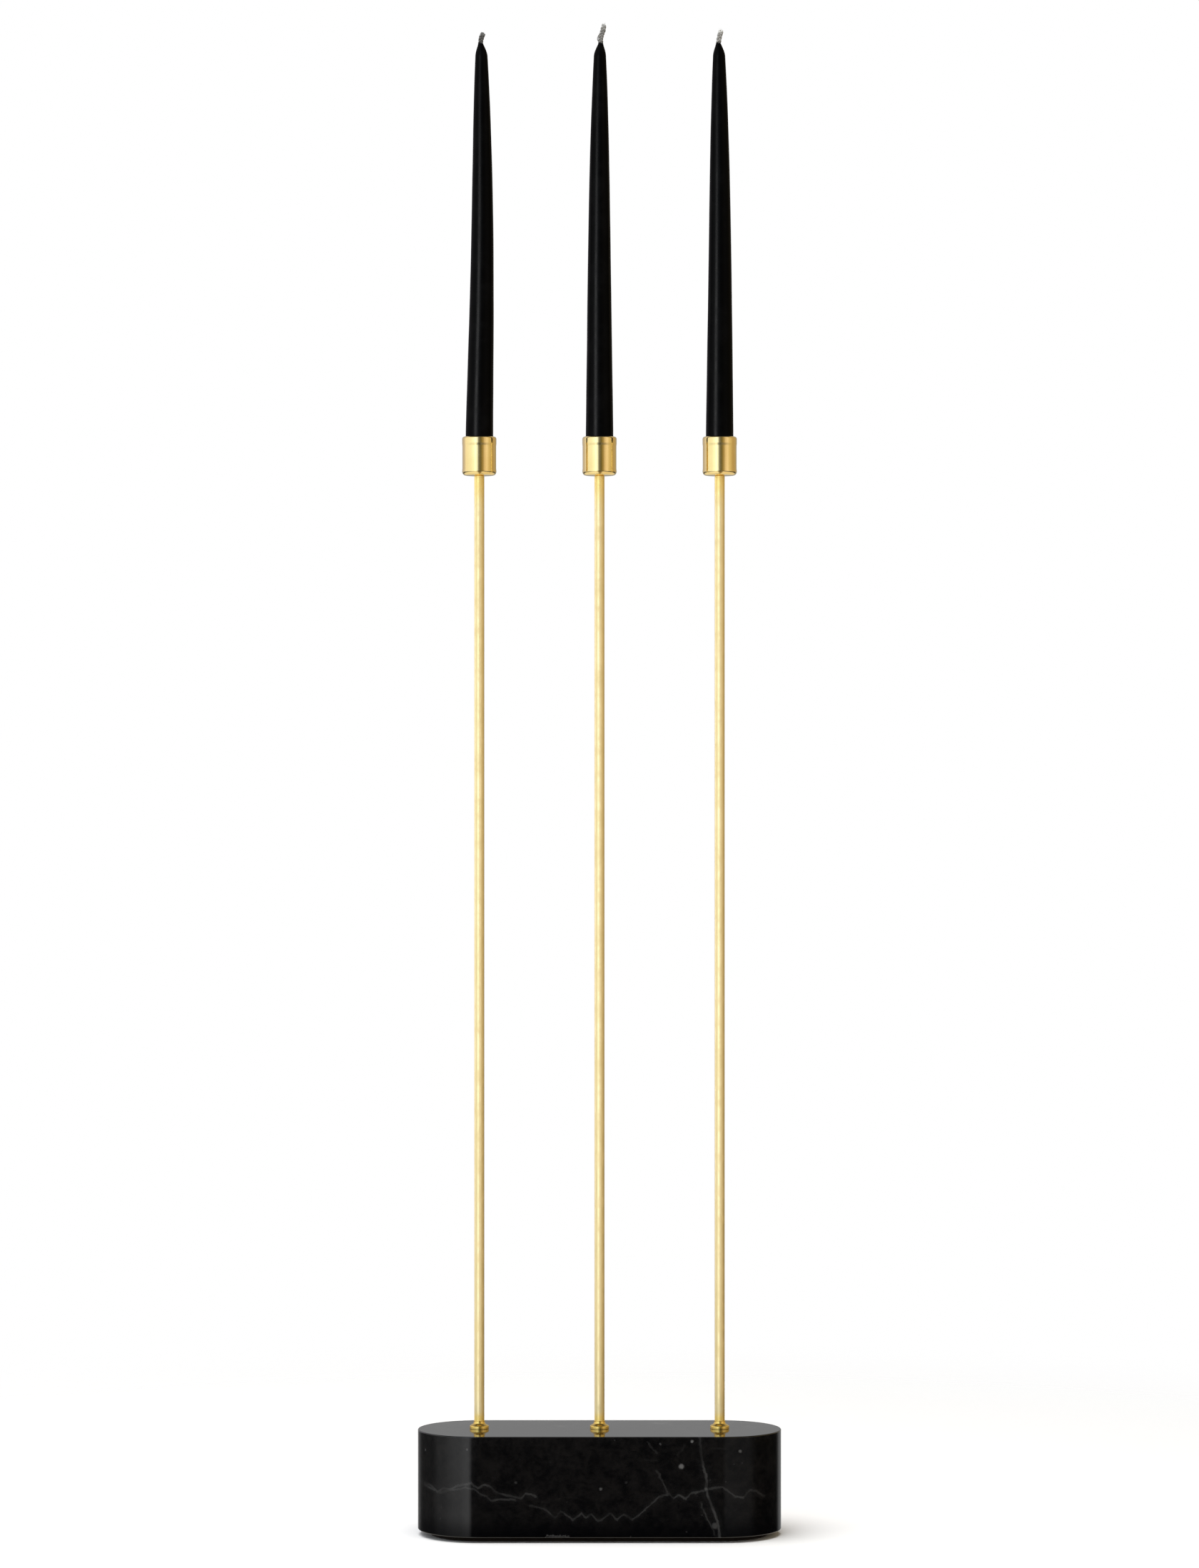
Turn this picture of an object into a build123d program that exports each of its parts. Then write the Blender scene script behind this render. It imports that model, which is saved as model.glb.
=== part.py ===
"""Three-stem taper candelabra: marble base, brass stems, candle cups and taper candles.

Millimetres. +Z is up, +X runs along the row of stems, the front is -Y. The origin is on the
surface that the base rests on, under the middle of the base.
"""

import os

from build123d import *

# Base: a pill-shaped block of marble on a felt pad
BASE_LENGTH = 290.0
BASE_WIDTH = 98.0
BASE_HEIGHT = 79.5
BASE_EDGE_RADIUS = 0.8
PAD_THICKNESS = 4.5
PAD_INSET = 10.0

# Stems: each rod stands in a socket in the stone, with a collar round its foot
STEM_PITCH = 96.0
ROD_DIAMETER = 8.0
ROD_CHAMFER = 0.4
SOCKET_DEPTH = 10.0
SOCKET_CLEARANCE = 0.15

# Collar: a round-edged flange that sweeps up into a short neck
COLLAR_DIAMETER = 15.2
COLLAR_RIM_HEIGHT = 2.4
COLLAR_RIM_RADIUS = 1.0
COLLAR_FOOT_RADIUS = 0.25
COLLAR_SHOULDER_RISE = 1.8
COLLAR_FLARE_RADIUS = 2.2
COLLAR_NECK_DIAMETER = 8.8
COLLAR_NECK_RADIUS = 0.25
COLLAR_HEIGHT = 6.4
COLLAR_CLEARANCE = 0.05

# Cup: turned brass with a slightly raised band at each end
CUP_SEAT = 845.0
CUP_DIAMETER = 27.4
CUP_HEIGHT = 31.0
CUP_UPPER_BAND = 5.5
CUP_LOWER_BAND = 3.6
CUP_BAND_RELIEF = 0.2
CUP_BAND_SLOPE = 2.0
CUP_BAND_BLEND = 2.0
CUP_TOP_RADIUS = 1.8
CUP_BOTTOM_RADIUS = 3.2
CUP_BORE_DIAMETER = 22.7
CUP_BORE_DEPTH = 20.0
CUP_MOUTH_RADIUS = 0.4

# Taper candle: straight in the cup, then an even taper that quickens into a rounded tip
CANDLE_DIAMETER = 22.0
CANDLE_LENGTH = 334.0
CANDLE_STRAIGHT = 25.0
CANDLE_EVEN_TAPER = 8.0
CANDLE_LATE_TAPER = 4.1
CANDLE_LATE_POWER = 5.5
CANDLE_TIP_LENGTH = 11.0
CANDLE_FOOT_CHAMFER = 0.8
CANDLE_STATIONS = 6
WICK_DIAMETER = 4.2
WICK_HOLE_DIAMETER = 4.5

# Fasteners: M5 studs, and a wide washer, a split washer and a hexagon nut under the stone
STUD_DIAMETER = 5.0
STUD_CHAMFER = 0.5
THREAD_CLEARANCE = 0.05
STONE_HOLE_DIAMETER = 6.0
ROD_THREAD_DEPTH = 17.0
ROD_ENGAGEMENT = 15.0
CUP_THREAD_DEPTH = 8.0
CUP_ENGAGEMENT = 7.0
COUNTERBORE_DIAMETER = 20.0
COUNTERBORE_DEPTH = 14.0
WASHER_DIAMETER = 18.0
WASHER_BORE = 5.4
WASHER_THICKNESS = 1.5
LOCK_WASHER_DIAMETER = 8.8
LOCK_WASHER_BORE = 5.2
LOCK_WASHER_THICKNESS = 1.2
LOCK_WASHER_SLIT = 1.0
NUT_ACROSS_FLATS = 8.0
NUT_HEIGHT = 4.0
NUT_CHAMFER = 0.4
STUD_BELOW_NUT = 2.0

# What differs from stem to stem: its place, and how far its wick stands up and leans over
STEMS = {
    "left": {"x": -STEM_PITCH, "wick_height": 8.5, "wick_lean": 2.8},
    "centre": {"x": 0.0, "wick_height": 15.2, "wick_lean": 2.6},
    "right": {"x": STEM_PITCH, "wick_height": 11.2, "wick_lean": 2.0},
}

# Heights that follow from the sizes above
STONE_TOP = PAD_THICKNESS + BASE_HEIGHT
ROD_FOOT = STONE_TOP - SOCKET_DEPTH
COUNTERBORE_TOP = PAD_THICKNESS + COUNTERBORE_DEPTH
WASHER_FOOT = COUNTERBORE_TOP - WASHER_THICKNESS
LOCK_WASHER_FOOT = WASHER_FOOT - LOCK_WASHER_THICKNESS
NUT_FOOT = LOCK_WASHER_FOOT - NUT_HEIGHT
CUP_TOP = CUP_SEAT + CUP_HEIGHT
CANDLE_SEAT = CUP_TOP - CUP_BORE_DEPTH
CANDLE_TOP = CANDLE_SEAT + CANDLE_LENGTH
TAPPED_RADIUS = STUD_DIAMETER / 2 + THREAD_CLEARANCE


def upright(diameter, foot, top):
    """A cylinder on the Z axis between two heights."""
    on_foot = (Align.CENTER, Align.CENTER, Align.MIN)
    return Pos(0, 0, foot) * Cylinder(diameter / 2, top - foot, align=on_foot)


def pill(length, width, foot, top):
    """A block with half-round ends between two heights."""
    return extrude(Pos(0, 0, foot) * SlotOverall(length, width), top - foot)


def turned(outline):
    """A closed outline, drawn as (radius, height), turned once round the Z axis."""
    return revolve(Plane.XZ * make_face(outline), Axis.Z)


def turned_corners(corners):
    """A turned piece with straight sides, from corners of (radius, height, rounding)."""
    points = [(reach, height) for reach, height, _ in corners]
    roundings = [rounding for _, _, rounding in corners]
    return turned(FilletPolyline(*points, radius=roundings, close=True))


def marble_base():
    """The stone block, with a socket, a stud hole and a counterbore under each stem."""
    block = pill(BASE_LENGTH, BASE_WIDTH, PAD_THICKNESS, STONE_TOP)
    faces = block.faces().sort_by(Axis.Z)
    block = fillet(faces[0].edges() + faces[-1].edges(), BASE_EDGE_RADIUS)
    for stem in STEMS.values():
        place = Pos(stem["x"], 0, 0)
        block -= place * upright(ROD_DIAMETER + 2 * SOCKET_CLEARANCE, ROD_FOOT, STONE_TOP)
        block -= place * upright(STONE_HOLE_DIAMETER, COUNTERBORE_TOP, ROD_FOOT)
        block -= place * upright(COUNTERBORE_DIAMETER, PAD_THICKNESS, COUNTERBORE_TOP)
    return block


def felt_pad():
    """The felt under the stone, set back from the stone's edge all round."""
    return pill(BASE_LENGTH - 2 * PAD_INSET, BASE_WIDTH - 2 * PAD_INSET, 0, PAD_THICKNESS)


def collar():
    """The flared collar that covers the joint between rod and stone."""
    bore = ROD_DIAMETER / 2 + COLLAR_CLEARANCE
    neck = COLLAR_NECK_DIAMETER / 2
    rim = COLLAR_DIAMETER / 2
    rim_top = STONE_TOP + COLLAR_RIM_HEIGHT
    top = STONE_TOP + COLLAR_HEIGHT
    return turned_corners([
        (bore, STONE_TOP, 0),
        (rim, STONE_TOP, COLLAR_FOOT_RADIUS),
        (rim, rim_top, COLLAR_RIM_RADIUS),
        (neck, rim_top + COLLAR_SHOULDER_RISE, COLLAR_FLARE_RADIUS),
        (neck, top, COLLAR_NECK_RADIUS),
        (bore, top, 0),
    ])


def rod():
    """The brass rod, tapped at both ends."""
    body = upright(ROD_DIAMETER, ROD_FOOT, CUP_SEAT)
    body = chamfer(body.edges().filter_by(GeomType.CIRCLE), ROD_CHAMFER)
    body -= upright(2 * TAPPED_RADIUS, ROD_FOOT, ROD_FOOT + ROD_THREAD_DEPTH)
    body -= upright(2 * TAPPED_RADIUS, CUP_SEAT - ROD_THREAD_DEPTH, CUP_SEAT)
    return body


def cup():
    """The turned cup: a bore for the candle above, a tapped hole for the stud below."""
    band = CUP_DIAMETER / 2
    waist = band - CUP_BAND_RELIEF
    bore = CUP_BORE_DIAMETER / 2
    lower_band_top = CUP_SEAT + CUP_LOWER_BAND
    upper_band_foot = CUP_TOP - CUP_UPPER_BAND
    thread_top = CUP_SEAT + CUP_THREAD_DEPTH
    return turned_corners([
        (TAPPED_RADIUS, CUP_SEAT, 0),
        (band, CUP_SEAT, CUP_BOTTOM_RADIUS),
        (band, lower_band_top, CUP_BAND_BLEND),
        (waist, lower_band_top + CUP_BAND_SLOPE, CUP_BAND_BLEND),
        (waist, upper_band_foot - CUP_BAND_SLOPE, CUP_BAND_BLEND),
        (band, upper_band_foot, CUP_BAND_BLEND),
        (band, CUP_TOP, CUP_TOP_RADIUS),
        (bore, CUP_TOP, CUP_MOUTH_RADIUS),
        (bore, CANDLE_SEAT, 0),
        (0, CANDLE_SEAT, 0),
        (0, thread_top, 0),
        (TAPPED_RADIUS, thread_top, 0),
    ])


def stud(foot, top):
    """A threaded stud, drawn at the thread's outer diameter."""
    body = upright(STUD_DIAMETER, foot, top)
    return chamfer(body.edges().filter_by(GeomType.CIRCLE), STUD_CHAMFER)


def base_stud():
    """The stud that pulls the rod down on the stone."""
    return stud(NUT_FOOT - STUD_BELOW_NUT, ROD_FOOT + ROD_ENGAGEMENT)


def cup_stud():
    """The stud that joins the cup to the top of the rod."""
    return stud(CUP_SEAT - ROD_ENGAGEMENT, CUP_SEAT + CUP_ENGAGEMENT)


def washer():
    """The wide washer against the roof of the counterbore."""
    return upright(WASHER_DIAMETER, WASHER_FOOT, COUNTERBORE_TOP) - upright(
        WASHER_BORE, WASHER_FOOT, COUNTERBORE_TOP
    )


def lock_washer():
    """The split washer between the wide washer and the nut."""
    ring = upright(LOCK_WASHER_DIAMETER, LOCK_WASHER_FOOT, WASHER_FOOT)
    ring -= upright(LOCK_WASHER_BORE, LOCK_WASHER_FOOT, WASHER_FOOT)
    slit_height = (LOCK_WASHER_FOOT + WASHER_FOOT) / 2
    slit = Box(LOCK_WASHER_DIAMETER, LOCK_WASHER_SLIT, 2 * LOCK_WASHER_THICKNESS)
    return ring - Pos(LOCK_WASHER_DIAMETER / 2, 0, slit_height) * slit


def nut():
    """The hexagon nut, with its corners turned down at both ends."""
    corner_diameter = 2 * NUT_ACROSS_FLATS / 3**0.5
    hexagon = RegularPolygon(NUT_ACROSS_FLATS / 2, 6, major_radius=False)
    body = extrude(Pos(0, 0, NUT_FOOT) * hexagon, NUT_HEIGHT)
    blank = upright(corner_diameter, NUT_FOOT, LOCK_WASHER_FOOT)
    body &= chamfer(blank.edges().filter_by(GeomType.CIRCLE), NUT_CHAMFER)
    return body - upright(2 * TAPPED_RADIUS, NUT_FOOT, LOCK_WASHER_FOOT)


def candle_radius(share):
    """Radius of the candle at a share (0 to 1) of the way up its tapered length."""
    narrowing = CANDLE_EVEN_TAPER * share + CANDLE_LATE_TAPER * share**CANDLE_LATE_POWER
    return (CANDLE_DIAMETER - narrowing) / 2


def candle():
    """The taper, with the hole that its wick runs up."""
    foot = CANDLE_DIAMETER / 2
    hole = WICK_HOLE_DIAMETER / 2
    taper_start = CANDLE_SEAT + CANDLE_STRAIGHT
    tip_start = CANDLE_TOP - CANDLE_TIP_LENGTH
    shares = [station / CANDLE_STATIONS for station in range(CANDLE_STATIONS + 1)]
    stations = [
        (candle_radius(share), taper_start + share * (tip_start - taper_start)) for share in shares
    ]
    side = Spline(*stations)
    tip = TangentArc(side @ 1, (hole, CANDLE_TOP), tangent=side % 1)
    core_and_foot = Polyline(
        tip @ 1,
        (hole, CANDLE_SEAT),
        (foot - CANDLE_FOOT_CHAMFER, CANDLE_SEAT),
        (foot, CANDLE_SEAT + CANDLE_FOOT_CHAMFER),
        (foot, taper_start),
    )
    return turned(core_and_foot + side + tip)


def wick(height, lean):
    """The wick: straight up the candle, then bent over above the wax."""
    path = Line((0, 0, CANDLE_SEAT), (0, 0, CANDLE_TOP)) + TangentArc(
        (0, 0, CANDLE_TOP), (lean, 0, CANDLE_TOP + height), tangent=(0, 0, 1)
    )
    return sweep(Pos(0, 0, CANDLE_SEAT) * Circle(WICK_DIAMETER / 2), path)


def stem_pieces(name, stem):
    """Every piece of one stem, from the nut under the stone to the wick, in its place."""
    pieces = {
        "collar": collar(),
        "rod": rod(),
        "cup": cup(),
        "base_stud": base_stud(),
        "cup_stud": cup_stud(),
        "washer": washer(),
        "lock_washer": lock_washer(),
        "nut": nut(),
        "candle": candle(),
        "wick": wick(stem["wick_height"], stem["wick_lean"]),
    }
    return {f"{name}_{piece}": Pos(stem["x"], 0, 0) * shape for piece, shape in pieces.items()}


def main():
    """Make every piece and write each one to its own file."""
    nodes = {"marble_base": marble_base(), "felt_pad": felt_pad()}
    for name, stem in STEMS.items():
        nodes.update(stem_pieces(name, stem))
    os.makedirs("parts", exist_ok=True)
    for node, shape in nodes.items():
        export_step(shape, f"parts/{node}.step")


main()
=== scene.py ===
"""Three-stem taper candelabra: its looks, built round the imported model.

Metres, +Z up, the row of stems along +X, the front towards -Y. Sizes given in millimetres are
multiplied by MM where they are used.
"""

import math
import random

import bmesh
import bpy
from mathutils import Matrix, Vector, noise


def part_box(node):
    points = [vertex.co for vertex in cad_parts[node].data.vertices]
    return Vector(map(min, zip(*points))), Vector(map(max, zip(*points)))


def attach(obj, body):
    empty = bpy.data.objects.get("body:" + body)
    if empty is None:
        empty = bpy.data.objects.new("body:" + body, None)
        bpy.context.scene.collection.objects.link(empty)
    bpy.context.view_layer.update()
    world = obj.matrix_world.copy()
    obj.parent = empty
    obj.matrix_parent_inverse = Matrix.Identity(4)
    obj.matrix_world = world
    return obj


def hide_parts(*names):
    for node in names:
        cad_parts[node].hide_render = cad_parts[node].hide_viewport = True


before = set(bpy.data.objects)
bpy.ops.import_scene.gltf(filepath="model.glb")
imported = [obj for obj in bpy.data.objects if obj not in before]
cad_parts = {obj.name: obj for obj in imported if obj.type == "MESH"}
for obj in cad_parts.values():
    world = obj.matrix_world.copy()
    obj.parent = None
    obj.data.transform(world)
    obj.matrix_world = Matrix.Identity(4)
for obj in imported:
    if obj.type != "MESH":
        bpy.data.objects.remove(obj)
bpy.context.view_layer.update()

MM = 0.001
STEMS = ("left", "centre", "right")

# Camera: level, square on to the row of stems
CAMERA_DISTANCE = 3.705
CAMERA_HEIGHT = 0.5987
CAMERA_LENS = 106.5
CAMERA_SENSOR = 36.0
CAMERA_FAR = 50.0

# Studio: the light tent's brightness by azimuth, in degrees from the camera's side, minus to the
# left. The camera itself sees plain white.
TENT_STRENGTH = 2.0
TENT_SIDES = (
    (-180, (0.20, 0.20, 0.20)),
    (-125, (0.31, 0.29, 0.32)),
    (-100, (0.50, 0.49, 0.48)),
    (-60, (0.53, 0.56, 0.56)),
    (-38, (0.62, 0.66, 0.70)),
    (-24, (0.78, 0.86, 0.95)),
    (-13, (0.52, 0.60, 0.72)),
    (-3, (0.10, 0.10, 0.10)),
    (12, (0.08, 0.07, 0.03)),
    (24, (0.18, 0.14, 0.06)),
    (42, (0.42, 0.35, 0.27)),
    (53, (0.48, 0.42, 0.34)),
    (75, (0.36, 0.30, 0.18)),
    (100, (0.26, 0.20, 0.11)),
    (180, (0.20, 0.20, 0.20)),
)
TENT_LOW = (
    (-180, (0.20, 0.20, 0.20)),
    (-130, (0.03, 0.03, 0.03)),
    (-100, (0.05, 0.05, 0.05)),
    (-75, (0.17, 0.17, 0.17)),
    (-40, (0.34, 0.34, 0.34)),
    (-20, (0.48, 0.48, 0.48)),
    (-11, (0.02, 0.02, 0.02)),
    (7, (0.02, 0.02, 0.02)),
    (10, (0.08, 0.08, 0.08)),
    (50, (0.07, 0.07, 0.07)),
    (75, (0.01, 0.01, 0.01)),
    (130, (0.01, 0.01, 0.01)),
    (150, (0.16, 0.16, 0.16)),
    (180, (0.20, 0.20, 0.20)),
)
TENT_FLOOR = (
    (-180, (0.42, 0.40, 0.36)),
    (-30, (0.52, 0.51, 0.46)),
    (-13, (0.48, 0.47, 0.42)),
    (-5, (0.12, 0.09, 0.05)),
    (14, (0.12, 0.09, 0.05)),
    (26, (0.46, 0.40, 0.30)),
    (90, (0.42, 0.37, 0.30)),
    (180, (0.42, 0.40, 0.36)),
)
TENT_ROOF = ((-180, (0.03, 0.03, 0.03)), (180, (0.03, 0.03, 0.03)))
# Each band of the tent gives way to the next one up between two heights of the view direction
TENT_BANDS = (
    (TENT_LOW, -0.45, -0.30),
    (TENT_SIDES, -0.137, -0.10),
    (TENT_ROOF, 0.60, 0.85),
)

# Overhead light: a broad soft square
OVERHEAD_SIDE = 3.0
OVERHEAD_ENERGY = 124.0
OVERHEAD_PLACE = (-0.5, -0.6, 3.0)
OVERHEAD_AIM = (0.0, 0.0, 0.2)

# Soft boxes, each lighting only some pieces: what it lights, its azimuth in degrees from the
# camera's side, its height, width, tallness and energy
SOFT_BOX_DISTANCE = 1.6
SOFT_BOXES = {
    "taper_box": ("tapers", -34.0, 0.925, 0.55, 0.9, 32.0),
    "rod_box": ("rods", 0.0, 0.42, 2.4, 1.1, 7.0),
    "rod_rim": ("rods", -118.0, 0.55, 1.2, 1.3, 4.0),
}

# Floor: how far it reaches, its grey, and where it starts and ends its fade into the white
FLOOR_REACH = 8.0
FLOOR_GREY = 0.86
FLOOR_FADE = (0.45, 1.3)

# Marble veins on the front face, in millimetres from the middle of the row and from the floor
MAIN_VEIN = (
    (-150, 41), (-127.6, 41.3), (-124, 37.5), (-120, 41.5), (-115.5, 41.5), (-112, 44.5),
    (-107.5, 46), (-101, 47.5), (-96, 43.5), (-90.5, 46.5), (-86, 44.5), (-82, 41), (-77, 39),
    (-70, 37.5), (-62, 35.5), (-58, 39.5), (-53, 38.5), (-48.5, 36.5), (-46, 28), (-44, 27.5),
    (-39, 24), (-35, 20), (-30.5, 25.5), (-26, 22.5), (-21, 18.5), (-14, 24), (-11, 20),
    (-6.5, 23.5), (-2, 18), (0.5, 18), (3.5, 20), (8.5, 24.5), (13.5, 18.5), (19, 23.5),
    (25.5, 19), (30.5, 22), (39.5, 30), (46.5, 36.5), (52, 38.5), (55, 39.5), (58, 35.5),
    (62.5, 38.5), (68, 35), (72.5, 40), (78.5, 41), (83.5, 42), (89.5, 44), (97, 44.5),
    (102, 41), (107.5, 36.5), (115, 35.5), (120, 40.5), (127, 39), (134, 34), (150, 33),
)
# How the main vein's strength varies along its length
MAIN_VEIN_FADE = (
    (-150, 0.05), (-130, 0.1), (-125, 0.5), (-80, 0.45), (-70, 0.3), (-62, 0.3), (-57, 0.5),
    (-50, 0.4), (-48, 0.02), (-46, 0.02), (-43, 0.3), (-30, 0.4), (30, 0.35), (50, 0.55),
    (90, 0.6), (96, 0.3), (110, 0.5), (132, 0.8), (138, 0.05), (150, 0.05),
)
SECOND_VEIN = (
    (-127.6, 39), (-122, 37.5), (-117, 40.5), (-111, 42), (-105, 44), (-99, 43), (-94, 39),
    (-90, 37.5), (-85.5, 34), (-80, 35), (-75, 34.5), (-70, 35), (-62, 33),
)
SECOND_VEIN_SPAN = (-128, -68)
# The steep vein and the strand beside it are given as height and place along the row
STEEP_VEIN = (
    (3, 95), (8.5, 94.5), (18.5, 92.5), (27, 89.5), (35.5, 86), (43, 84), (50.5, 84.5), (60.5, 82),
    (71, 80), (84, 79),
)
STEEP_STRAND = ((6, 91), (11, 89.5), (20, 84.5), (28, 81), (33, 80))
STEEP_STRAND_SPAN = (8, 31)
# The long veins stay below this height, and the steep ones within this distance along the row
VEIN_TOP = 84.0
STEEP_TOP = 100.0
# Width in millimetres, and strength
MAIN_VEIN_LOOK = (1.35, 0.45)
SECOND_VEIN_LOOK = (1.2, 0.18)
STEEP_STRAND_LOOK = (1.0, 0.18)
STEEP_VEIN_WIDTH = 1.5
# The steep vein weakens between two heights, from one strength to another
STEEP_VEIN_FADE = (50, 80, 0.30, 0.14)
# How far the veins drift along the row and up, for each millimetre back into the stone
VEIN_DRIFT = 0.35
VEIN_RISE = -0.12
STEEP_DRIFT = 0.30
# Short veins: two ends (x, z) and strength
SHORT_VEINS = (
    ((-55, 30), (-44, 27.5), 0.12),
    ((37.5, 80), (45, 71), 0.09),
    ((45, 57.5), (50.5, 47), 0.12),
    ((50.5, 47), (53.5, 40), 0.16),
    ((36, 66), (44.5, 65.5), 0.04),
    ((61.5, 70), (67.5, 77.5), 0.05),
    ((88, 75), (100, 75), 0.04),
    ((-42, 6), (-24, 5.6), 0.35),
)
SHORT_VEIN_WIDTH = 1.1
# How deep in the stone the short veins start to fade, and have gone
SHORT_VEIN_DEPTH = (8.0, 30.0)
# Crystal specks: x, z, radius and strength
SPECKS = (
    (64.5, 60.8, 2.7, 1.0),
    (1, 43, 1.7, 0.5),
    (111, 72.5, 1.8, 0.6),
    (-104.5, 74, 1.2, 0.45),
    (48, 78.5, 1.4, 0.3),
    (-66, 48, 1.4, 0.2),
    (21, 48, 1.4, 0.14),
    (-138, 70.5, 1.4, 0.4),
    (73, 80.5, 1.6, 1.0),
    (84, 43, 2.0, 0.5),
    (91, 14, 3.6, 0.35),
)
# The unseen sides: the scale of the noise whose middle value they follow, width and strength
HIDDEN_VEINS = ((0.016, 0.006, 0.75), (0.034, 0.007, 0.4))
# How far back from the front these start to show, and show fully
HIDDEN_VEIN_DEPTH = (24.0, 60.0)

# The stone's colour is painted darker at its foot as a painted shade, and it is less glossy
# there: two heights, and the share of painted shade or the gloss at each of them
MARBLE_FOOT_SHADE_FADE = (6.0, 26.0, 0.75, 0.0)
MARBLE_GLOSS_FADE = (5.0, 24.0, 0.2, 0.5)

# Brass: the noise scale along x, y and z, per millimetre, of marks that run round or along
ROUND_MARKS = (0.02, 0.02, 7.0)
LONG_MARKS = (7.0, 7.0, 0.03)
# For each brass piece: paleness, roughness, its marks and their depth, and how strongly it is
# spotted
BRASS_FINISHES = {
    "collar": (-1.0, 0.26, ROUND_MARKS, 0.002, 0.3),
    "rod": (0.6, 0.46, LONG_MARKS, 0.003, 0.06),
    "cup": (0.0, 0.13, ROUND_MARKS, 0.0015, 0.25),
}
# The stems are yellower at their two ends, a painted reflection of the brass beside them. The
# yellow fades out between two heights above the stone, and comes in again between two distances
# below the cups.
REFLECTION_ABOVE_STONE = (8.0, 15.0)
REFLECTION_BELOW_CUP = (30.0, 3.0)
REFLECTION_BELOW_CUP_SHARE = 0.8

# Colours: linear red, green and blue, with full alpha
MARBLE_BLACK = (0.0006, 0.0006, 0.0008, 1.0)
MARBLE_CLOUD = (0.0052, 0.0046, 0.0044, 1.0)
# Painted shade at the stone's foot
MARBLE_FOOT_SHADE = (0.0004, 0.0005, 0.0009, 1.0)
MARBLE_VEIN = (0.088, 0.087, 0.085, 1.0)
# The painted yellow reflection on the rods' ends
BRASS_PAINTED_REFLECTION = (0.97, 0.74, 0.25, 1.0)
BRASS_SPOT = (0.80, 0.57, 0.27, 1.0)
WAX_BLACK = (0.0006, 0.0006, 0.0007, 1.0)
WAX_BLOOM = (0.0014, 0.0014, 0.0015, 1.0)
WICK_SOAKED = (0.004, 0.004, 0.004, 1.0)
# Felt colours: the felt's own brown-black with worn patches, darkened further as painted shade of
# its place under the stone
FELT_DARK_SHADED = (0.004, 0.003, 0.0025, 1.0)
FELT_BROWN_SHADED = (0.016, 0.011, 0.008, 1.0)
FELT_WORN_AND_SHADED = (0.026, 0.019, 0.013, 1.0)
STEEL_DARK = (0.55, 0.565, 0.60, 1.0)
STEEL_PALE = (0.66, 0.665, 0.68, 1.0)
STEEL_YELLOW = (0.62, 0.57, 0.46, 1.0)

# Taper candles: the same shape as the CAD candle, but with the wax drawn up round the wick
CANDLE_RADIUS = 11.0
CANDLE_FOOT_CHAMFER = 0.8
CANDLE_STRAIGHT = 25.0
CANDLE_EVEN_TAPER = 8.0
CANDLE_LATE_TAPER = 4.1
CANDLE_LATE_POWER = 5.5
CANDLE_TIP_LENGTH = 11.0
CANDLE_NECK_RADIUS = 2.1
CANDLE_TIP_POWER = 1.4
CANDLE_SIDES = 96
CANDLE_RINGS = 150
CANDLE_TIP_RINGS = 24
CANDLE_BOW_POWER = 1.25
CANDLE_SEED_STEP = 7.3
# Unevenness left by dipping: how deep, how long, and how much it changes round the candle
DIP_WAVE = 0.10
DIP_WAVE_LENGTH = 38
DIP_WAVE_ROUND = 0.6
DIP_RIPPLE = 0.02
DIP_RIPPLE_LENGTH = 5
DIP_RIPPLE_ROUND = 1.5

# For each candle: how far its top leans, its middle bows out and its very tip is drawn over; its
# wick's grey, the line of the wick above the wax (x, y, z), and the line of any loose yarn
CANDLES = {
    "left": {
        "lean": 1.7, "bow": 1.5, "skew": -0.6, "tone": 0.065,
        "line": ((0, 0, 0), (0.1, 0.2, 2.6), (0.6, 0.3, 4.8), (1.3, 0.2, 6.8), (2.3, 0.1, 8.2)),
        "yarn": (),
    },
    "centre": {
        "lean": 0.4, "bow": -0.3, "skew": 0.6, "tone": 0.17,
        "line": ((0, 0, 0), (-0.1, 0.2, 3.6), (0.6, 0.4, 7.2), (1.8, 0.3, 10.8), (2.6, 0.1, 15.4)),
        "yarn": ((-0.9, -0.3, 0.6), (-2.5, -0.4, 3.0), (-2.2, -0.3, 5.6), (-0.4, -0.5, 8.2)),
    },
    "right": {
        "lean": -0.5, "bow": 0.5, "skew": -0.5, "tone": 0.24,
        "line": ((0, 0, 0), (0.4, -0.1, 3.4), (1.1, -0.2, 6.6), (1.6, -0.1, 8.6), (2.1, 0.0, 10.6)),
        "yarn": (),
    },
}

# Plaited wick: three strands, each twisted from yarns
STRANDS = 3
STRAND_RADIUS = 0.92
STRAND_YARNS = 4
STRAND_TWIST = 0.8
PLAIT_HALF_WIDTH = 1.1
PLAIT_HALF_DEPTH = 0.55
PLAIT_PITCH = 7.0
WICK_STEP = 0.16
WICK_BURIED = 3.0
WICK_SEED = 40
WICK_PHASE_STEP = 0.9
WICK_END_SWELL = 1.18
STRAND_SIDES = 16
STRAND_GROOVE = 0.10
# Each strand narrows at its very end, at a slope, down to a share of its radius
STRAND_END_SLOPE = 4
STRAND_END_SHARE = 0.55
LOOSE_YARN_RADIUS = 0.34
LOOSE_YARN_STEPS = 40

# Loose fibres: they curl, thin out along their length, and are tubes of few sides. Each kind has
# a count, a shortest and longest length, and a radius.
HAIR_CURL = 0.8
HAIR_THINNING = 0.7
HAIR_STEPS = 6
HAIR_SIDES = 5
FRAYED_END = (40, 0.8, 1.7, 0.05)
WICK_STRAYS = (24, 0.5, 1.2, 0.035)
FELT_STRAYS = (900, 0.5, 1.1, 0.03)
# The frayed end's fibres start a little way back from it and spread out. It points the way that
# the last few steps of the wick do.
FRAYED_BACK = 0.7
FRAYED_SPREAD = 0.55
END_STEPS = 5
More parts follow.
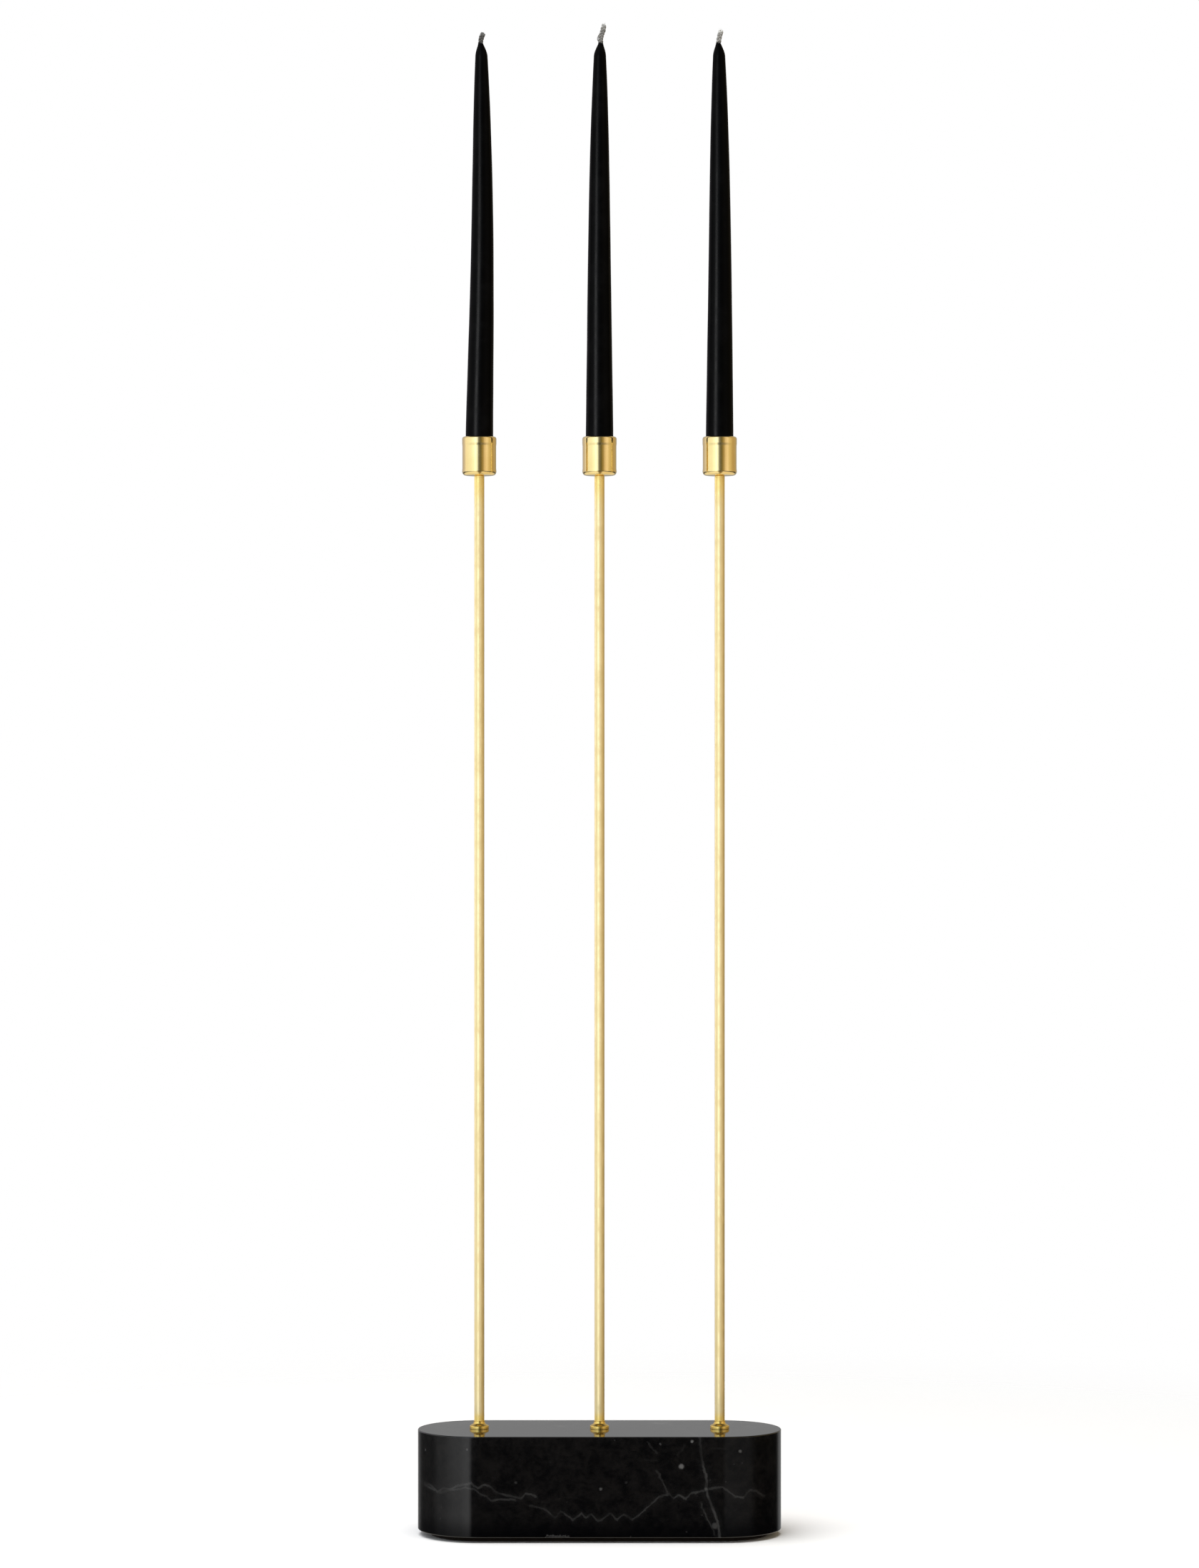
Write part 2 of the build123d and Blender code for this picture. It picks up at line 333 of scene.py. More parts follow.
# The wick's strays start past a share of its length and before its last steps, at a distance
# from its middle, and point upwards from there
STRAY_FROM = 0.35
STRAY_LAST_STEPS = 4
STRAY_OUT = 1.4
STRAY_TILT = 0.3
STRAY_LIFT = 0.8

# Felt pad. Its section is given as insets from its outline and heights, from inside its lower
# face out to its side, and its upper half mirrors that.
FELT_STEP = 0.9
FELT_EDGE = ((12.0, 0.0), (2.5, 0.0), (0.5, 0.05), (0.12, 0.4), (0.0, 1.0))
# Its side is fuzzy, to an inset: how deep, the noise scales of its coarse and fine fuzz, and how
# strong the fine one is beside the coarse one
FELT_FUZZ = 0.12
FELT_FUZZ_INSET = 0.2
FELT_COARSE = 0.8
FELT_FINE = 2.6
FELT_FINE_SHARE = 0.6
# Its strays start inside its side, clear of both faces, and point outwards and a little up
FELT_STRAY_ROOT = 0.4
FELT_STRAY_CLEAR = (0.9, 1.0)
FELT_STRAY_LIFT = (0.2, 0.5)
FELT_SEED = 11


# ---------------------------------------------------------------- meshes


def skin(bm, rings):
    """A closed skin over rings of points, with a fan of faces across each end."""
    loops = [[bm.verts.new(point) for point in ring] for ring in rings]
    count = len(loops[0])
    for lower, upper in zip(loops, loops[1:]):
        for i in range(count):
            j = (i + 1) % count
            bm.faces.new((lower[i], lower[j], upper[j], upper[i]))
    for loop in (loops[0], loops[-1]):
        hub = bm.verts.new(sum((vertex.co for vertex in loop), Vector()) / count)
        for i in range(count):
            bm.faces.new((loop[i], loop[(i + 1) % count], hub))


def tube(bm, path, radius, sides):
    """A tube along a path of points; radius(step, angle) gives its radius."""
    rings = []
    across = Vector((0, 1, 0))
    for step, point in enumerate(path):
        ahead = path[min(step + 1, len(path) - 1)] - path[max(step - 1, 0)]
        ahead.normalize()
        across = (across - ahead * across.dot(ahead)).normalized()
        beside = ahead.cross(across)
        ring = []
        for side in range(sides):
            angle = 2 * math.pi * side / sides
            arm = across * math.cos(angle) + beside * math.sin(angle)
            ring.append(point + arm * radius(step, angle))
        rings.append(ring)
    skin(bm, rings)


def smooth_line(points, steps):
    """Points along a smooth line through a few given points (Catmull-Rom)."""
    spots = [Vector(p) for p in points]
    spots = [2 * spots[0] - spots[1], *spots, 2 * spots[-1] - spots[-2]]
    line = []
    spans = len(spots) - 3
    for i in range(steps + 1):
        along = spans * i / steps
        span = min(int(along), spans - 1)
        t = along - span
        a, b, c, d = spots[span:span + 4]
        slope = (c - a) * t
        bend = (2 * a - 5 * b + 4 * c - d) * t**2
        twist = (3 * b - a - 3 * c + d) * t**3
        line.append(0.5 * (2 * b + slope + bend + twist))
    return line


def piece(name, bm, material, slot, body, *replaced):
    """A mesh made into a smooth piece that rides on a body and stands for CAD nodes."""
    bmesh.ops.recalc_face_normals(bm, faces=bm.faces)
    mesh = bpy.data.meshes.new(name)
    bm.to_mesh(mesh)
    bm.free()
    mesh.shade_smooth()
    mesh.materials.append(material)
    obj = bpy.data.objects.new(name, mesh)
    bpy.context.scene.collection.objects.link(obj)
    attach(obj, body)
    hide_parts(*replaced)
    return obj


# ---------------------------------------------------------------- candles and wicks


def candle_profile(length):
    """Heights above the candle's foot and radii there, in millimetres."""
    tip_start = length - CANDLE_TIP_LENGTH
    profile = [(0.0, CANDLE_RADIUS - CANDLE_FOOT_CHAMFER), (CANDLE_FOOT_CHAMFER, CANDLE_RADIUS)]
    for i in range(1, CANDLE_RINGS + 1):
        height = CANDLE_FOOT_CHAMFER + (tip_start - CANDLE_FOOT_CHAMFER) * i / CANDLE_RINGS
        share = max(0.0, (height - CANDLE_STRAIGHT) / (tip_start - CANDLE_STRAIGHT))
        narrowing = CANDLE_EVEN_TAPER * share + CANDLE_LATE_TAPER * share**CANDLE_LATE_POWER
        profile.append((height, CANDLE_RADIUS - narrowing / 2))
    shoulder = profile[-1][1]
    for i in range(1, CANDLE_TIP_RINGS + 1):
        share = i / CANDLE_TIP_RINGS
        narrowing = 1 - (1 - share**2) ** CANDLE_TIP_POWER
        radius = shoulder - (shoulder - CANDLE_NECK_RADIUS) * narrowing
        profile.append((tip_start + CANDLE_TIP_LENGTH * share, radius))
    return profile


def candle_foot(stem):
    """The middle of the candle's foot, and the candle's length in millimetres."""
    low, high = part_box(f"{stem}_candle")
    foot = Vector(((low.x + high.x) / 2, (low.y + high.y) / 2, low.z))
    return foot, (high.z - low.z) / MM


def candle_shift(stem, height, length):
    """How far sideways the candle's middle has moved at a height above its foot."""
    ways = CANDLES[stem]
    share = max(0.0, (height - CANDLE_STRAIGHT) / (length - CANDLE_STRAIGHT))
    tip = max(0.0, 1 - (length - height) / CANDLE_TIP_LENGTH)
    bow = max(0.0, math.sin(math.pi * share)) ** CANDLE_BOW_POWER
    return ways["lean"] * height / length + ways["bow"] * bow + ways["skew"] * tip**2


def candle(stem, material):
    """A dipped taper: very slightly wavy and bowed, leaning a little in its cup."""
    foot, length = candle_foot(stem)
    seed = Vector((CANDLE_SEED_STEP * STEMS.index(stem), 0, 0))
    bm = bmesh.new()
    rings = []
    for height, radius in candle_profile(length):
        free = min(1.0, max(0.0, (height - CANDLE_STRAIGHT) / CANDLE_STRAIGHT))
        shift = candle_shift(stem, height, length)
        ring = []
        for side in range(CANDLE_SIDES):
            angle = 2 * math.pi * side / CANDLE_SIDES
            round_it = Vector((math.cos(angle), math.sin(angle), 0))
            wave_at = round_it * DIP_WAVE_ROUND + Vector((0, 0, height / DIP_WAVE_LENGTH))
            ripple_at = round_it * DIP_RIPPLE_ROUND + Vector((0, 0, height / DIP_RIPPLE_LENGTH))
            wave = noise.noise(seed + wave_at)
            ripple = noise.noise(seed + ripple_at)
            reach = radius + free * (DIP_WAVE * wave + DIP_RIPPLE * ripple)
            ring.append(foot + Vector((shift, 0, height)) * MM + round_it * reach * MM)
        rings.append(ring)
    skin(bm, rings)
    body = f"{stem}_taper"
    return piece(f"{stem}_dipped_taper", bm, material, "black_wax", body, f"{stem}_candle")


def strand_line(line, strand, phase_start):
    """One strand's path in the plait, in millimetres: it swings across and between the others."""
    path = []
    for step, point in enumerate(line):
        ahead = (line[min(step + 1, len(line) - 1)] - line[max(step - 1, 0)]).normalized()
        depth = Vector((0, 1, 0))
        across = depth.cross(ahead).normalized()
        turn = phase_start + 2 * math.pi * (step * WICK_STEP / PLAIT_PITCH + strand / STRANDS)
        swing = across * PLAIT_HALF_WIDTH * math.sin(turn)
        weave = depth * PLAIT_HALF_DEPTH * math.sin(2 * turn)
        path.append(point + swing + weave)
    return path


def plait(bm, foot, line, phase, thick_end=1.0):
    """Three twisted strands plaited along a line given in millimetres above a point."""
    count = len(line)
    for strand in range(STRANDS):
        path = [foot + p * MM for p in strand_line(line, strand, phase)]

        def radius(step, angle, strand=strand):
            share = step / (count - 1)
            swell = 1 + (thick_end - 1) * share**2
            twist = STRAND_TWIST * step * WICK_STEP + strand
            yarn = 1 + STRAND_GROOVE * math.cos(STRAND_YARNS * (angle - twist))
            end = min(1.0, STRAND_END_SLOPE * (1 - share) + STRAND_END_SHARE)
            return STRAND_RADIUS * MM * swell * yarn * end

        tube(bm, path, radius, STRAND_SIDES)


def hair(bm, start, heading, kind, draw):
    """One loose fibre, a thin curling tube; kind is one of the rows of fibre sizes."""
    shortest, longest, thickness = kind[1:]
    length = draw.uniform(shortest, longest) * MM
    bend = Vector([draw.uniform(-1, 1) for _ in range(3)]) * HAIR_CURL
    path = []
    for i in range(HAIR_STEPS + 1):
        share = i / HAIR_STEPS
        path.append(start + (heading + bend * share).normalized() * length * share)

    def radius(step, angle):
        return thickness * MM * (1 - HAIR_THINNING * step / HAIR_STEPS)

    tube(bm, path, radius, HAIR_SIDES)


def wick(stem, material):
    """The plaited wick: a bent length above the wax, with a frayed end, and its cut foot."""
    draw = random.Random(WICK_SEED + STEMS.index(stem))
    foot, length = candle_foot(stem)
    top = foot + Vector((candle_shift(stem, length, length), 0, length)) * MM
    given = [Vector(p) for p in CANDLES[stem]["line"]]
    reach = sum((b - a).length for a, b in zip(given, given[1:])) + WICK_BURIED
    steps = int(reach / WICK_STEP)
    line = smooth_line([Vector((0, 0, -WICK_BURIED)), *given], steps)
    bm = bmesh.new()
    plait(bm, top, line, WICK_PHASE_STEP * STEMS.index(stem), thick_end=WICK_END_SWELL)
    end = line[-1]
    heading = (end - line[-1 - END_STEPS]).normalized()
    for _ in range(FRAYED_END[0]):
        beside = Vector([draw.uniform(-1, 1) for _ in range(3)])
        start = top + (end - heading * FRAYED_BACK + beside) * MM
        aim = (heading + beside * FRAYED_SPREAD).normalized()
        hair(bm, start, aim, FRAYED_END, draw)
    for _ in range(WICK_STRAYS[0]):
        spot = line[draw.randrange(int(steps * STRAY_FROM), steps - STRAY_LAST_STEPS)]
        beside = Vector((draw.uniform(-1, 1), draw.uniform(-1, 1), STRAY_TILT)).normalized()
        start = top + (spot + beside * STRAY_OUT) * MM
        aim = (beside + Vector((0, 0, STRAY_LIFT))).normalized()
        hair(bm, start, aim, WICK_STRAYS, draw)
    loose = CANDLES[stem]["yarn"]
    if loose:
        yarn = [top + spot * MM for spot in smooth_line(loose, LOOSE_YARN_STEPS)]
        tube(bm, yarn, lambda step, angle: LOOSE_YARN_RADIUS * MM, STRAND_SIDES)
    foot_line = [Vector((0, 0, i * WICK_STEP)) for i in range(int(WICK_BURIED / WICK_STEP))]
    plait(bm, foot, foot_line, 0.0)
    piece(f"{stem}_plaited_wick", bm, material, "cotton_wick", f"{stem}_taper", f"{stem}_wick")


# ---------------------------------------------------------------- felt


def pill_outline(length, width, step):
    """Points and outward directions round a pill shape, a step apart."""
    radius = width / 2
    straight = length - width
    around = 2 * straight + 2 * math.pi * radius
    count = int(around / step)
    outline = []
    for i in range(count):
        along = around * i / count
        side, rest = divmod(along, around / 2)
        sign = 1 if side == 0 else -1
        if rest < straight:
            spot = Vector((rest - straight / 2, -radius, 0))
            out = Vector((0, -1, 0))
        else:
            angle = (rest - straight) / radius - math.pi / 2
            out = Vector((math.cos(angle), math.sin(angle), 0))
            spot = Vector((straight / 2, 0, 0)) + out * radius
        outline.append((spot * sign, out * sign))
    return outline


def felt(material):
    """The felt pad: soft, fibrous edges between flat faces."""
    low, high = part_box("felt_pad")
    size = (high - low) / MM
    centre = Vector(((low.x + high.x) / 2, (low.y + high.y) / 2, low.z))
    outline = pill_outline(size.x, size.y, FELT_STEP)
    upper_edge = [(inset, size.z - height) for inset, height in reversed(FELT_EDGE)]
    bm = bmesh.new()
    rings = []
    for inset, height in (*FELT_EDGE, *upper_edge):
        ring = []
        for spot, out in outline:
            spread = spot + Vector((0, 0, height))
            coarse = noise.noise(spread * FELT_COARSE)
            fuzz = coarse + FELT_FINE_SHARE * noise.noise(spread * FELT_FINE)
            slack = FELT_FUZZ * fuzz if inset < FELT_FUZZ_INSET else 0.0
            ring.append(centre + (spread - out * (inset + FELT_FUZZ - slack)) * MM)
        rings.append(ring)
    skin(bm, rings)
    draw = random.Random(FELT_SEED)
    foot_clear, top_clear = FELT_STRAY_CLEAR
    for _ in range(FELT_STRAYS[0]):
        spot, out = draw.choice(outline)
        height = draw.uniform(foot_clear, size.z - top_clear)
        start = centre + (spot - out * FELT_STRAY_ROOT + Vector((0, 0, height))) * MM
        sway = (draw.uniform(-1, 1), draw.uniform(-1, 1), draw.uniform(*FELT_STRAY_LIFT))
        aim = out + Vector(sway)
        hair(bm, start, aim.normalized(), FELT_STRAYS, draw)
    pad = piece("felt_under_stone", bm, material, "felt", "stand", "felt_pad")


# ---------------------------------------------------------------- materials


class Shader:
    """A material's node tree, with one short call for each kind of node."""

    def __init__(self, name):
        self.material = bpy.data.materials.new(name)
        self.material.use_nodes = True
        self.tree = self.material.node_tree
        self.bsdf = self.tree.nodes["Principled BSDF"]

    def node(self, kind, settings=None, **inputs):
        """A new node; inputs are plain values or other nodes' outputs, by socket name."""
        new = self.tree.nodes.new("ShaderNode" + kind)
        for key, value in (settings or {}).items():
            setattr(new, key, value)
        for key, value in inputs.items():
            self.put(new.inputs[key.replace("_", " ")], value)
        return new

    def put(self, socket, value):
        """Link an output to a socket, or set the socket's own value."""
        if isinstance(value, bpy.types.NodeSocket):
            self.tree.links.new(value, socket)
        else:
            socket.default_value = value

    def math(self, operation, *values, clamp=False):
        """The result of a Math node."""
        new = self.node("Math", {"operation": operation, "use_clamp": clamp})
        for socket, value in zip(new.inputs, values):
            self.put(socket, value)
        return new.outputs[0]

    def add(self, first, second):
        """The sum of two values."""
        return self.math("ADD", first, second)

    def times(self, first, second):
        """The product of two values."""
        return self.math("MULTIPLY", first, second)

    def ramp(self, value, low, high, to_low=0.0, to_high=1.0):
        """A value carried from one range to another, clamped, with eased ends."""
        new = self.node(
            "MapRange", {"interpolation_type": "SMOOTHSTEP"}, Value=value, From_Min=low,
            From_Max=high, To_Min=to_low, To_Max=to_high,
        )
        return new.outputs["Result"]

    def mix(self, share, first, second):
        """Two colours mixed by a share from 0 to 1."""
        new = self.node("Mix", {"data_type": "RGBA"})
        self.put(new.inputs[0], share)
        self.put(new.inputs[6], first)
        self.put(new.inputs[7], second)
        return new.outputs[2]

    def place(self, scale=(1000.0, 1000.0, 1000.0)):
        """The point on the surface, in millimetres unless another scale is given."""
        new = self.node("VectorMath", {"operation": "MULTIPLY"})
        self.put(new.inputs[0], self.node("TexCoord").outputs["Object"])
        self.put(new.inputs[1], scale)
        return new.outputs[0]

    def noise(self, vector, scale, detail=3.0, roughness=0.5, distortion=0.0):
        """Noise from 0 to 1."""
        new = self.node(
            "TexNoise", Vector=vector, Scale=scale, Detail=detail, Roughness=roughness,
            Distortion=distortion,
        )
        return new.outputs["Fac"]

    def curve(self, value, points, top):
        """The height, at a value along it, of a line through points that are all below top."""
        first, last = points[0][0], points[-1][0]
        share = self.math("DIVIDE", self.add(value, -first), last - first)
        new = self.node("FloatCurve", Value=share)
        line = new.mapping.curves[0]
        spots = [((along - first) / (last - first), height / top) for along, height in points]
        line.points[0].location = spots[0]
        line.points[-1].location = spots[-1]
        for spot in spots[1:-1]:
            line.points.new(*spot)
        for point in line.points:
            point.handle_type = "VECTOR"
        new.mapping.update()
        return self.times(new.outputs[0], top)

    def window(self, value, low, high, ease):
        """1 between two values and 0 outside, eased at both ends."""
        opened = self.ramp(value, low - ease, low)
        closed = self.ramp(value, high, high + ease, 1.0, 0.0)
        return self.times(opened, closed)

    def bump(self, height, distance):
        """A normal bent by a height, which the distance scales."""
        return self.node("Bump", Height=height, Distance=distance).outputs["Normal"]

    def finish(self, **inputs):
        """Set the Principled shader's sockets and give the material back."""
        for key, value in inputs.items():
            self.put(self.bsdf.inputs[key.replace("_", " ")], value)
        return self.material


def rgb(red, green, blue):
    """A linear colour with full alpha."""
    return (red, green, blue, 1.0)


def marble_material():
    """Polished black marble: the veins seen on the front run back through the stone as sheets."""
    s = Shader("black_marble")
    low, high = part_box("marble_base")
    front = low.y / MM
    end_centre = high.x / MM - high.y / MM
    place = s.place()
    x, y, z = s.node("SeparateXYZ", Vector=place).outputs
    inward = s.add(y, -front)
    wander = s.add(s.noise(place, scale=0.28, detail=2.0), -0.5)
    fine = s.add(s.noise(place, scale=1.1, detail=2.0), -0.5)
    jitter = s.add(s.times(wander, 2.0), s.times(fine, 1.8))
    fade = s.ramp(s.noise(place, scale=0.09, detail=1.0), 0.30, 0.62, to_low=0.35)

    def line_mask(place_across, line, width, strength):
        """A vein where a place is near a line, with a faint haze beside it."""
        offset = s.math("SUBTRACT", place_across, line)
        distance = s.math("ABSOLUTE", s.add(offset, jitter))
        thread = s.ramp(distance, width * 0.3, width, 1.0, 0.0)
        haze = s.ramp(distance, width, width * 4.0, 0.12, 0.0)
        return s.times(s.add(thread, haze), strength)

    along_row = s.add(x, s.times(inward, VEIN_DRIFT))
    height = s.add(z, s.times(inward, VEIN_RISE))
    main = s.curve(along_row, MAIN_VEIN, VEIN_TOP)
    width, strength = MAIN_VEIN_LOOK
    main_strength = s.times(s.curve(along_row, MAIN_VEIN_FADE, 1.0), strength)
    vein = line_mask(height, main, width, main_strength)

    second = s.curve(along_row, SECOND_VEIN, VEIN_TOP)
    width, strength = SECOND_VEIN_LOOK
    second_strength = s.times(s.window(along_row, *SECOND_VEIN_SPAN, ease=4.0), strength)
    vein = s.math("MAXIMUM", vein, line_mask(height, second, width, second_strength))

    steep_x = s.add(x, s.times(inward, STEEP_DRIFT))
    steep = s.curve(z, STEEP_VEIN, STEEP_TOP)
    steep_strength = s.ramp(z, *STEEP_VEIN_FADE)
    vein = s.math("MAXIMUM", vein, line_mask(steep_x, steep, STEEP_VEIN_WIDTH, steep_strength))

    strand = s.curve(z, STEEP_STRAND, STEEP_TOP)
    width, strength = STEEP_STRAND_LOOK
    strand_strength = s.times(s.window(z, *STEEP_STRAND_SPAN, ease=3.0), strength)
    vein = s.math("MAXIMUM", vein, line_mask(steep_x, strand, width, strand_strength))
    vein = s.times(vein, fade)

    near_front = s.ramp(inward, *SHORT_VEIN_DEPTH, 1.0, 0.0)
    warp_x = s.add(x, s.times(wander, 4.0))
    warp_z = s.add(z, s.times(fine, 4.0))
    for (x0, z0), (x1, z1), strength in SHORT_VEINS:
        span = (x1 - x0) ** 2 + (z1 - z0) ** 2
        from_x = s.add(warp_x, -x0)
        from_z = s.add(warp_z, -z0)
        share_x = s.times(from_x, (x1 - x0) / span)
        share_z = s.times(from_z, (z1 - z0) / span)
        along = s.math("ADD", share_x, share_z, clamp=True)
        gap_x = s.math("MULTIPLY_ADD", along, x0 - x1, from_x)
        gap_z = s.math("MULTIPLY_ADD", along, z0 - z1, from_z)
        distance = s.math("SQRT", s.add(s.times(gap_x, gap_x), s.times(gap_z, gap_z)))
        mask = s.times(s.ramp(distance, 0.2, SHORT_VEIN_WIDTH, strength, 0.0), near_front)
        vein = s.math("MAXIMUM", vein, mask)

    for spot_x, spot_z, radius, strength in SPECKS:
        beyond = max(0.0, abs(spot_x) - end_centre)
        spot_y = -math.sqrt(front**2 - beyond**2)
        away = s.node("VectorMath", {"operation": "DISTANCE"})
        s.put(away.inputs[0], place)
        s.put(away.inputs[1], (spot_x, spot_y, spot_z))
        ragged = s.add(away.outputs["Value"], s.times(fine, 1.6))
        vein = s.math("MAXIMUM", vein, s.ramp(ragged, radius * 0.35, radius, strength, 0.0))

    # Away from the front: fainter veins where smooth noise crosses its middle value
    elsewhere = s.ramp(inward, *HIDDEN_VEIN_DEPTH)
    for scale, width, strength in HIDDEN_VEINS:
        level = s.noise(place, scale, detail=4.0, roughness=0.55, distortion=0.6)
        crossing = s.math("ABSOLUTE", s.add(level, -0.5))
        thread = s.ramp(crossing, width * 0.2, width, strength, 0.0)
        vein = s.math("MAXIMUM", vein, s.times(s.times(thread, elsewhere), fade))

    # Crystal dots all over: one in some of the cells of a grid of cells
    cells = s.node("TexVoronoi", Vector=place, Scale=0.16)
    lot = s.node("SeparateColor", Color=cells.outputs["Color"]).outputs[0]
    dot = s.ramp(cells.outputs["Distance"], 0.05, 0.13, 1.0, 0.0)
    vein = s.math("MAXIMUM", vein, s.times(dot, s.ramp(lot, 0.72, 0.95, to_high=0.16)))

    cloud = s.noise(place, scale=0.075, detail=6.0, roughness=0.62, distortion=0.8)
    mottle = s.noise(place, scale=0.32, detail=4.0, roughness=0.6)
    shade = s.add(s.times(cloud, 0.6), s.times(mottle, 0.4))
    ground = s.mix(s.ramp(shade, 0.36, 0.66), MARBLE_BLACK, MARBLE_CLOUD)
    # Painted shade: the stone's colour darkens towards its foot
    ground = s.mix(s.ramp(z, *MARBLE_FOOT_SHADE_FADE), ground, MARBLE_FOOT_SHADE)
    colour = s.mix(vein, ground, MARBLE_VEIN)
    smear = s.noise(place, scale=0.04, detail=4.0, roughness=0.6)
    polish = s.add(s.ramp(smear, 0.35, 0.75, 0.05, 0.085), s.times(vein, 0.05))
    pits = s.ramp(s.noise(place, scale=2.2, detail=2.0), 0.18, 0.30)
    return s.finish(
        Base_Color=colour, Roughness=polish, IOR=1.5,
        Specular_IOR_Level=s.ramp(z, *MARBLE_GLOSS_FADE), Normal=s.bump(pits, 0.004 * MM),
    )


def brass_material(name, pale, roughness, marks_run, depth, spotting, painted_reflection_ends):
    """Brass with fine marks. Pale whitens it; on the rods, a painted yellow reflection of the brass
    beside them is laid on just above the stone and just below the cups.
    """
    s = Shader(name)
    place = s.place()
    tone = s.noise(place, scale=0.045, detail=4.0, roughness=0.6)
    deep = rgb(0.90, 0.70 + 0.08 * pale, 0.31 + 0.15 * pale)
    light = rgb(0.95, 0.755 + 0.07 * pale, 0.36 + 0.16 * pale)
    colour = s.mix(s.ramp(tone, 0.3, 0.7), deep, light)
    # Painted reflection: the rod is painted yellow where the collar and the cup beside it would
    # reflect
    if painted_reflection_ends:
        stone_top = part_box("marble_base")[1].z / MM
        cup_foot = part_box("centre_cup")[0].z / MM
        height = s.node("SeparateXYZ", Vector=place).outputs[2]
        start, end = (stone_top + above for above in REFLECTION_ABOVE_STONE)
        stone_end_reflection = s.ramp(height, start, end, 1.0, 0.0)
        start, end = (cup_foot - below for below in REFLECTION_BELOW_CUP)
        cup_end_reflection = s.ramp(height, start, end, to_high=REFLECTION_BELOW_CUP_SHARE)
        colour = s.mix(s.math("MAXIMUM", stone_end_reflection, cup_end_reflection), colour, BRASS_PAINTED_REFLECTION)
    spots = s.ramp(s.noise(place, scale=0.55, roughness=0.6), 0.66, 0.78, to_high=spotting)
    colour = s.mix(spots, colour, BRASS_SPOT)
    stretched = s.place([axis / MM for axis in marks_run])
    marks = s.noise(stretched, scale=1.0, roughness=0.65)
    smudge = s.noise(place, scale=0.12, roughness=0.6)
    gloss = s.add(
        s.ramp(smudge, 0.35, 0.75, roughness * 0.85, roughness * 1.25),
        s.ramp(marks, 0.55, 0.75, to_high=roughness * 0.25),
    )
    return s.finish(
        Base_Color=colour, Metallic=1.0, Roughness=gloss, Normal=s.bump(marks, depth * MM),
    )


def wax_material():
    """Black candle wax, with a faint bloom and the soft waviness of dipping."""
    s = Shader("black_wax")
    place = s.place()
    bloom = s.ramp(s.noise(place, scale=0.05, detail=5.0, roughness=0.6), 0.45, 0.75)
    colour = s.mix(bloom, WAX_BLACK, WAX_BLOOM)
    gloss = s.ramp(s.noise(place, scale=0.11), 0.3, 0.7, 0.25, 0.33)
    peel = s.noise(s.place((900.0, 900.0, 350.0)), scale=0.55, detail=2.0)
    return s.finish(
        Base_Color=colour, Roughness=gloss, IOR=1.42, Specular_IOR_Level=0.035,
        Normal=s.bump(peel, 0.012 * MM),
    )


def wick_material(stem):
    """Cotton: pale at the end, and dark where the wax has crept up it."""
    s = Shader(f"cotton_{stem}")
    foot, length = candle_foot(stem)
    tone = CANDLES[stem]["tone"]
    reach = CANDLES[stem]["line"][-1][2]
    height = s.add(s.node("SeparateXYZ", Vector=s.place()).outputs[2], -(foot.z / MM + length))
    fibre = s.noise(s.place((9000.0, 9000.0, 2600.0)), scale=1.0, roughness=0.7)
    shaded = rgb(tone * 0.62, tone * 0.60, tone * 0.57)
    lit = rgb(tone * 1.45, tone * 1.42, tone * 1.36)
    bleached = rgb(tone * 1.9, tone * 1.9, tone * 1.85)
    dry = s.mix(s.ramp(height, 0.65 * reach, reach), s.mix(fibre, shaded, lit), bleached)
    soaked = s.add(height, s.times(s.noise(s.place(), scale=1.4, detail=2.0), 1.6))
    colour = s.mix(s.ramp(soaked, 0.9, 3.0), WICK_SOAKED, dry)
    return s.finish(
        Base_Color=colour, Roughness=s.ramp(soaked, 0.9, 3.0, 0.45, 0.92), Sheen_Weight=0.25,
        Normal=s.bump(fibre, 0.06 * MM),
    )


def felt_material():
    """Brown-black felt, its colours darkened further as painted shade: matted fibres."""
    s = Shader("felt")
    place = s.place()
    mat = s.noise(place, scale=2.6, detail=5.0, roughness=0.7, distortion=1.2)
    patch = s.noise(place, scale=0.22)
    # Painted shade: every felt colour is darker than the felt itself
    colour = s.mix(mat, FELT_DARK_SHADED, FELT_BROWN_SHADED)
    colour = s.mix(s.ramp(patch, 0.4, 0.8, to_high=0.4), colour, FELT_WORN_AND_SHADED)
    return s.finish(
        Base_Color=colour, Roughness=0.95, Sheen_Weight=0.06, Specular_IOR_Level=0.1,
        Normal=s.bump(mat, 0.15 * MM),
    )


def steel_material():
    """Zinc-plated steel: faintly blotched, with the odd yellowed patch."""
    s = Shader("zinc_steel")
    place = s.place()
    spangle = s.node("TexVoronoi", Vector=place, Scale=0.7).outputs["Color"]
    grey = s.node("SeparateColor", Color=spangle).outputs[0]
    colour = s.mix(grey, STEEL_DARK, STEEL_PALE)
    yellowed = s.ramp(s.noise(place, scale=0.18, detail=4.0), 0.55, 0.8, to_high=0.5)
    colour = s.mix(yellowed, colour, STEEL_YELLOW)
    scuffs = s.noise(place, scale=1.6, detail=4.0, roughness=0.7)
    return s.finish(
        Base_Color=colour, Metallic=1.0, Roughness=s.ramp(scuffs, 0.3, 0.8, 0.28, 0.46),
        Normal=s.bump(scuffs, 0.01 * MM),
    )


# ---------------------------------------------------------------- studio


